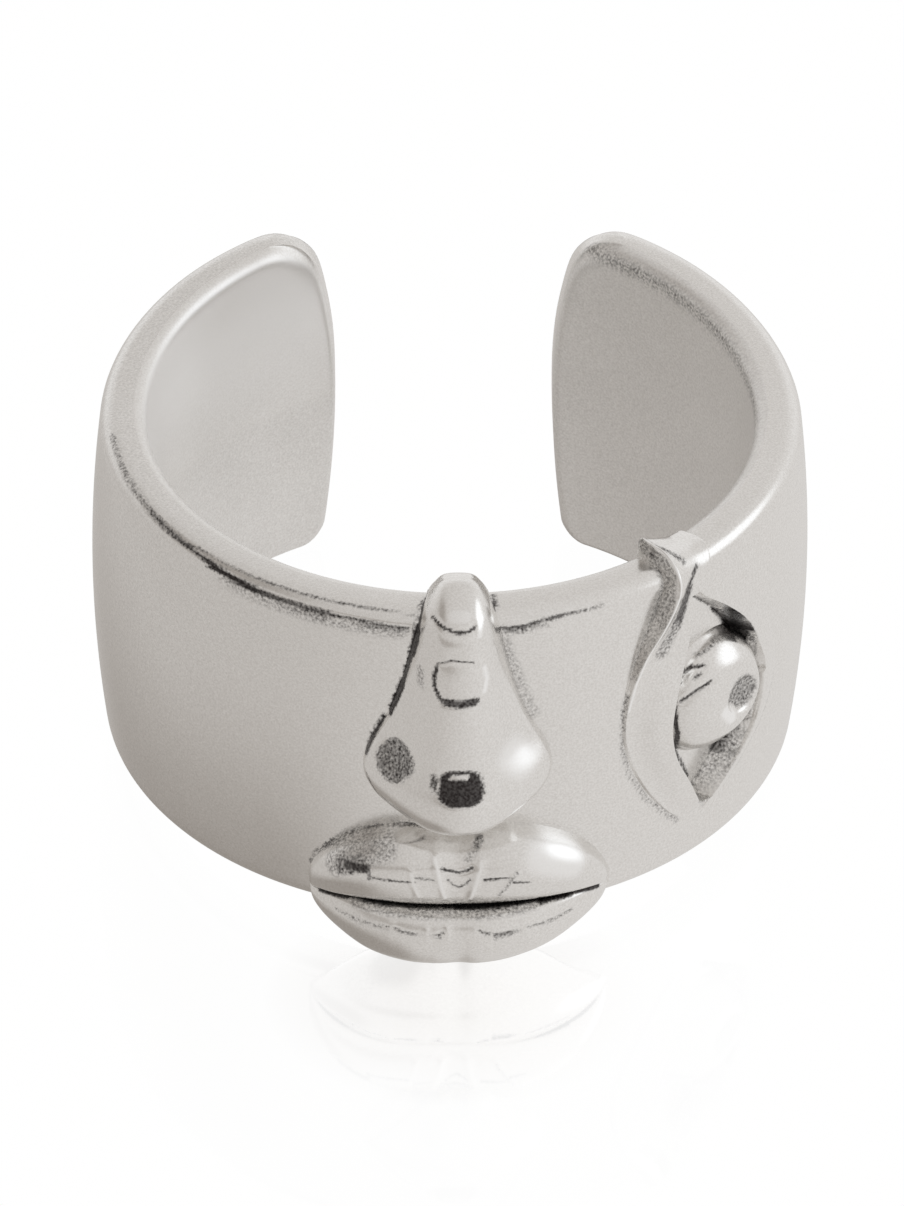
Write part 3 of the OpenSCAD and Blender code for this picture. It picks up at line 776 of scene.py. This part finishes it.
def together(a, b, how="ADD"):
    """Two values added together, or put together in another way."""
    node = nodes.new("ShaderNodeMath")
    node.operation = how
    links.new(a, node.inputs[0])
    links.new(b, node.inputs[1])
    return node.outputs["Value"]


def blended(amount, a, b):
    """A colour between two, each a colour or the output of a node."""
    node = nodes.new("ShaderNodeMix")
    node.data_type = "RGBA"
    links.new(amount, node.inputs["Factor"])
    for socket, colour in ((node.inputs[6], a), (node.inputs[7], b)):
        if isinstance(colour, tuple):
            socket.default_value = colour
        else:
            links.new(colour, socket)
    return node.outputs[2]


grain = pattern(grain_size, 1.5)
speckle = pattern(speckle_size, 1)
clouds = pattern(cloud_size, 3)
laid_on, satin_finish = nodes.new("ShaderNodeAttribute"), nodes.new("ShaderNodeAttribute")
laid_on.attribute_name, satin_finish.attribute_name = "tarnish_and_painted_light", "satin"
# Hollows are darkened by how enclosed they are: painted shade
hollow = nodes.new("ShaderNodeAmbientOcclusion")
hollow.samples = 8
hollow.only_local = True
hollow.inputs["Distance"].default_value = hollow_reach
hollow_shade = ramp(hollow.outputs["AO"], 0.60, 0.15, 0, 0.36)
shade_and_tarnish = together(laid_on.outputs["Fac"], hollow_shade, "MAXIMUM")
mottled = together(ramp(shade_and_tarnish, 0, 0.25, 0, 1), ramp(shade_and_tarnish, 0.60, 0.95, 1, 0.15), "MULTIPLY")
speckled = together(shade_and_tarnish, together(ramp(speckle, 0.25, 0.75, -0.42, 0.42), mottled, "MULTIPLY"))
amount = ramp(speckled, 0, 1, 0, 1)
bright = blended(ramp(grain, 0.3, 0.7, 0, 1), dark_grain, light_grain)
# Strokes below 0 mix the colour toward white as painted highlights; painted shade, dark reflections and
# tarnish mix it toward near black
bright = blended(ramp(laid_on.outputs["Fac"], -1, 0, 1, 0), bright, painted_highlight_white)
links.new(blended(amount, bright, shade_and_tarnish_black), shader.inputs["Base Color"])
rough = together(ramp(clouds, 0.3, 0.7, 0.15, 0.23), ramp(amount, 0, 1, 0, 0.25))
rough = together(rough, ramp(satin_finish.outputs["Fac"], 0, 1, 0, 0.22))
links.new(rough, shader.inputs["Roughness"])
bump = nodes.new("ShaderNodeBump")
bump.inputs["Strength"].default_value = 0.25
bump.inputs["Distance"].default_value = grain_depth
links.new(grain, bump.inputs["Height"])
links.new(bump.outputs["Normal"], shader.inputs["Normal"])
band.data.materials.clear()
band.data.materials.append(silver)

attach(band, "root")
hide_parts("cast_ring")

# The studio
# A tent of white cloth over a polished white table, which is plain soft light from every side. The
# camera sees both as white, and the silver mirrors the cloth, three dark flags and a bright window.
world = bpy.data.worlds.new("studio")
bpy.context.scene.world = world
world.use_nodes = True
tent, tie = world.node_tree.nodes, world.node_tree.links
direction = tent.new("ShaderNodeTexCoord").outputs["Generated"]


def facing(az, el):
    """The direction that is az degrees to the right of the viewer and el degrees over the horizon."""
    az, el = math.radians(az), math.radians(el)
    return Vector((math.sin(az) * math.cos(el), -math.cos(az) * math.cos(el), math.sin(el)))


def smooth(value, low, high, low_to, high_to):
    """Carries a value of the tent from one range to another, with a soft start and end."""
    step = tent.new("ShaderNodeMapRange")
    step.interpolation_type = "SMOOTHSTEP"
    for name, number in (("From Min", low), ("From Max", high), ("To Min", low_to), ("To Max", high_to)):
        step.inputs[name].default_value = number
    tie.new(value, step.inputs["Value"])
    return step.outputs["Result"]


def hang(light, az, el, wide, high, edge, brightness):
    """Hangs a card or a window in the tent: the light that comes from there is as bright as it says,
    and that from round it is as before. Its half width and half height are in degrees."""
    out = facing(az, el)
    place = tent.new("ShaderNodeMapping")
    place.vector_type = "TEXTURE"
    place.inputs["Location"].default_value = out
    place.inputs["Rotation"].default_value = out.to_track_quat("Z", "Y").to_matrix().to_euler()
    place.inputs["Scale"].default_value = (math.sin(math.radians(wide)), math.sin(math.radians(high)), 1.2)
    tie.new(direction, place.inputs["Vector"])
    away = tent.new("ShaderNodeVectorMath")
    away.operation = "LENGTH"
    tie.new(place.outputs["Vector"], away.inputs[0])
    mixed = tent.new("ShaderNodeMath")
    mixed.operation = "MULTIPLY_ADD"
    tie.new(light, mixed.inputs[0])
    tie.new(smooth(away.outputs["Value"], 1 - edge, 1 + edge, 0, 1), mixed.inputs[1])
    tie.new(smooth(away.outputs["Value"], 1 - edge, 1 + edge, brightness, 0), mixed.inputs[2])
    return mixed.outputs["Value"]


# The cloth is a little brighter on the right than on the left
left_cloth, right_cloth = 0.60, 0.76
across = tent.new("ShaderNodeSeparateXYZ")
tie.new(direction, across.inputs["Vector"])
light = smooth(across.outputs["X"], -0.9, 0.9, left_cloth, right_cloth)

# Degrees to the right and over the horizon, half width and half height in degrees, soft edge, and
# brightness, of the light behind, the flags low and high on the left and at the front, and the window
HUNG = [
    [180, 5, 60, 20, 0.50, 0.85],
    [-105, -64, 40, 22, 0.35, 0.36],
    [-88, 38, 26, 18, 0.50, 0.40],
    [-35, 5, 34, 7, 0.40, 0.45],
    [95, 24, 23, 17, 0.40, 1.25],
]
for card in HUNG:
    light = hang(light, *card)

colour = tent.new("ShaderNodeCombineXYZ")
for name, power in (("X", 1.0), ("Y", 1.08), ("Z", 1.16)):
    warmer = tent.new("ShaderNodeMath")
    warmer.operation = "POWER"
    warmer.inputs[1].default_value = power
    tie.new(light, warmer.inputs[0])
    tie.new(warmer.outputs["Value"], colour.inputs[name])
silver_sees = tent["Background"]
tie.new(colour.outputs["Vector"], silver_sees.inputs["Color"])
camera_sees = tent.new("ShaderNodeBackground")
camera_sees.inputs["Color"].default_value = (1, 1, 1, 1)
from_camera = tent.new("ShaderNodeLightPath")
which = tent.new("ShaderNodeMixShader")
tie.new(from_camera.outputs["Is Camera Ray"], which.inputs["Fac"])
tie.new(silver_sees.outputs["Background"], which.inputs[1])
tie.new(camera_sees.outputs["Background"], which.inputs[2])
tie.new(which.outputs["Shader"], tent["World Output"].inputs["Surface"])
bpy.context.scene.view_settings.view_transform = "Standard"

# The white table mirrors the lower lip faintly, about a place in front of the ring and so far each way
mirror_y, mirror_half_wide, mirror_half_long = -9.2, 5.2, 4.2
bpy.ops.mesh.primitive_plane_add(size=6)
floor = bpy.context.object
floor.name = "floor"
floor_white = bpy.data.materials.new("floor_white")
floor_white.use_nodes = True
nodes, links = floor_white.node_tree.nodes, floor_white.node_tree.links
nodes.remove(nodes["Principled BSDF"])
lit = nodes.new("ShaderNodeEmission")
to_camera = nodes.new("ShaderNodeLightPath")
lit.inputs["Color"].default_value = (1, 1, 1, 1)
polish = nodes.new("ShaderNodeBsdfGlossy")
polish.inputs["Color"].default_value = (1.45, 1.45, 1.45, 1)
polish.inputs["Roughness"].default_value = 0.05
mirror = nodes.new("ShaderNodeMapping")
mirror.inputs["Location"].default_value = (0, -mirror_y / mirror_half_long, 0)
mirror.inputs["Scale"].default_value = (1 / (mirror_half_wide * MM), 1 / (mirror_half_long * MM), 1)
links.new(nodes.new("ShaderNodeTexCoord").outputs["Object"], mirror.inputs["Vector"])
from_lip = nodes.new("ShaderNodeVectorMath")
from_lip.operation = "LENGTH"
links.new(mirror.outputs["Vector"], from_lip.inputs[0])
top = nodes.new("ShaderNodeMixShader")
links.new(ramp(from_lip.outputs["Value"], 0.2, 0.9, 0.34, 0.02), top.inputs["Fac"])
links.new(lit.outputs["Emission"], top.inputs[1])
links.new(polish.outputs["BSDF"], top.inputs[2])
clear = nodes.new("ShaderNodeBsdfTransparent")
seen = nodes.new("ShaderNodeMixShader")
links.new(to_camera.outputs["Is Camera Ray"], seen.inputs["Fac"])
links.new(clear.outputs["BSDF"], seen.inputs[1])
links.new(top.outputs["Shader"], seen.inputs[2])
links.new(seen.outputs["Shader"], nodes["Material Output"].inputs["Surface"])
floor.data.materials.append(floor_white)
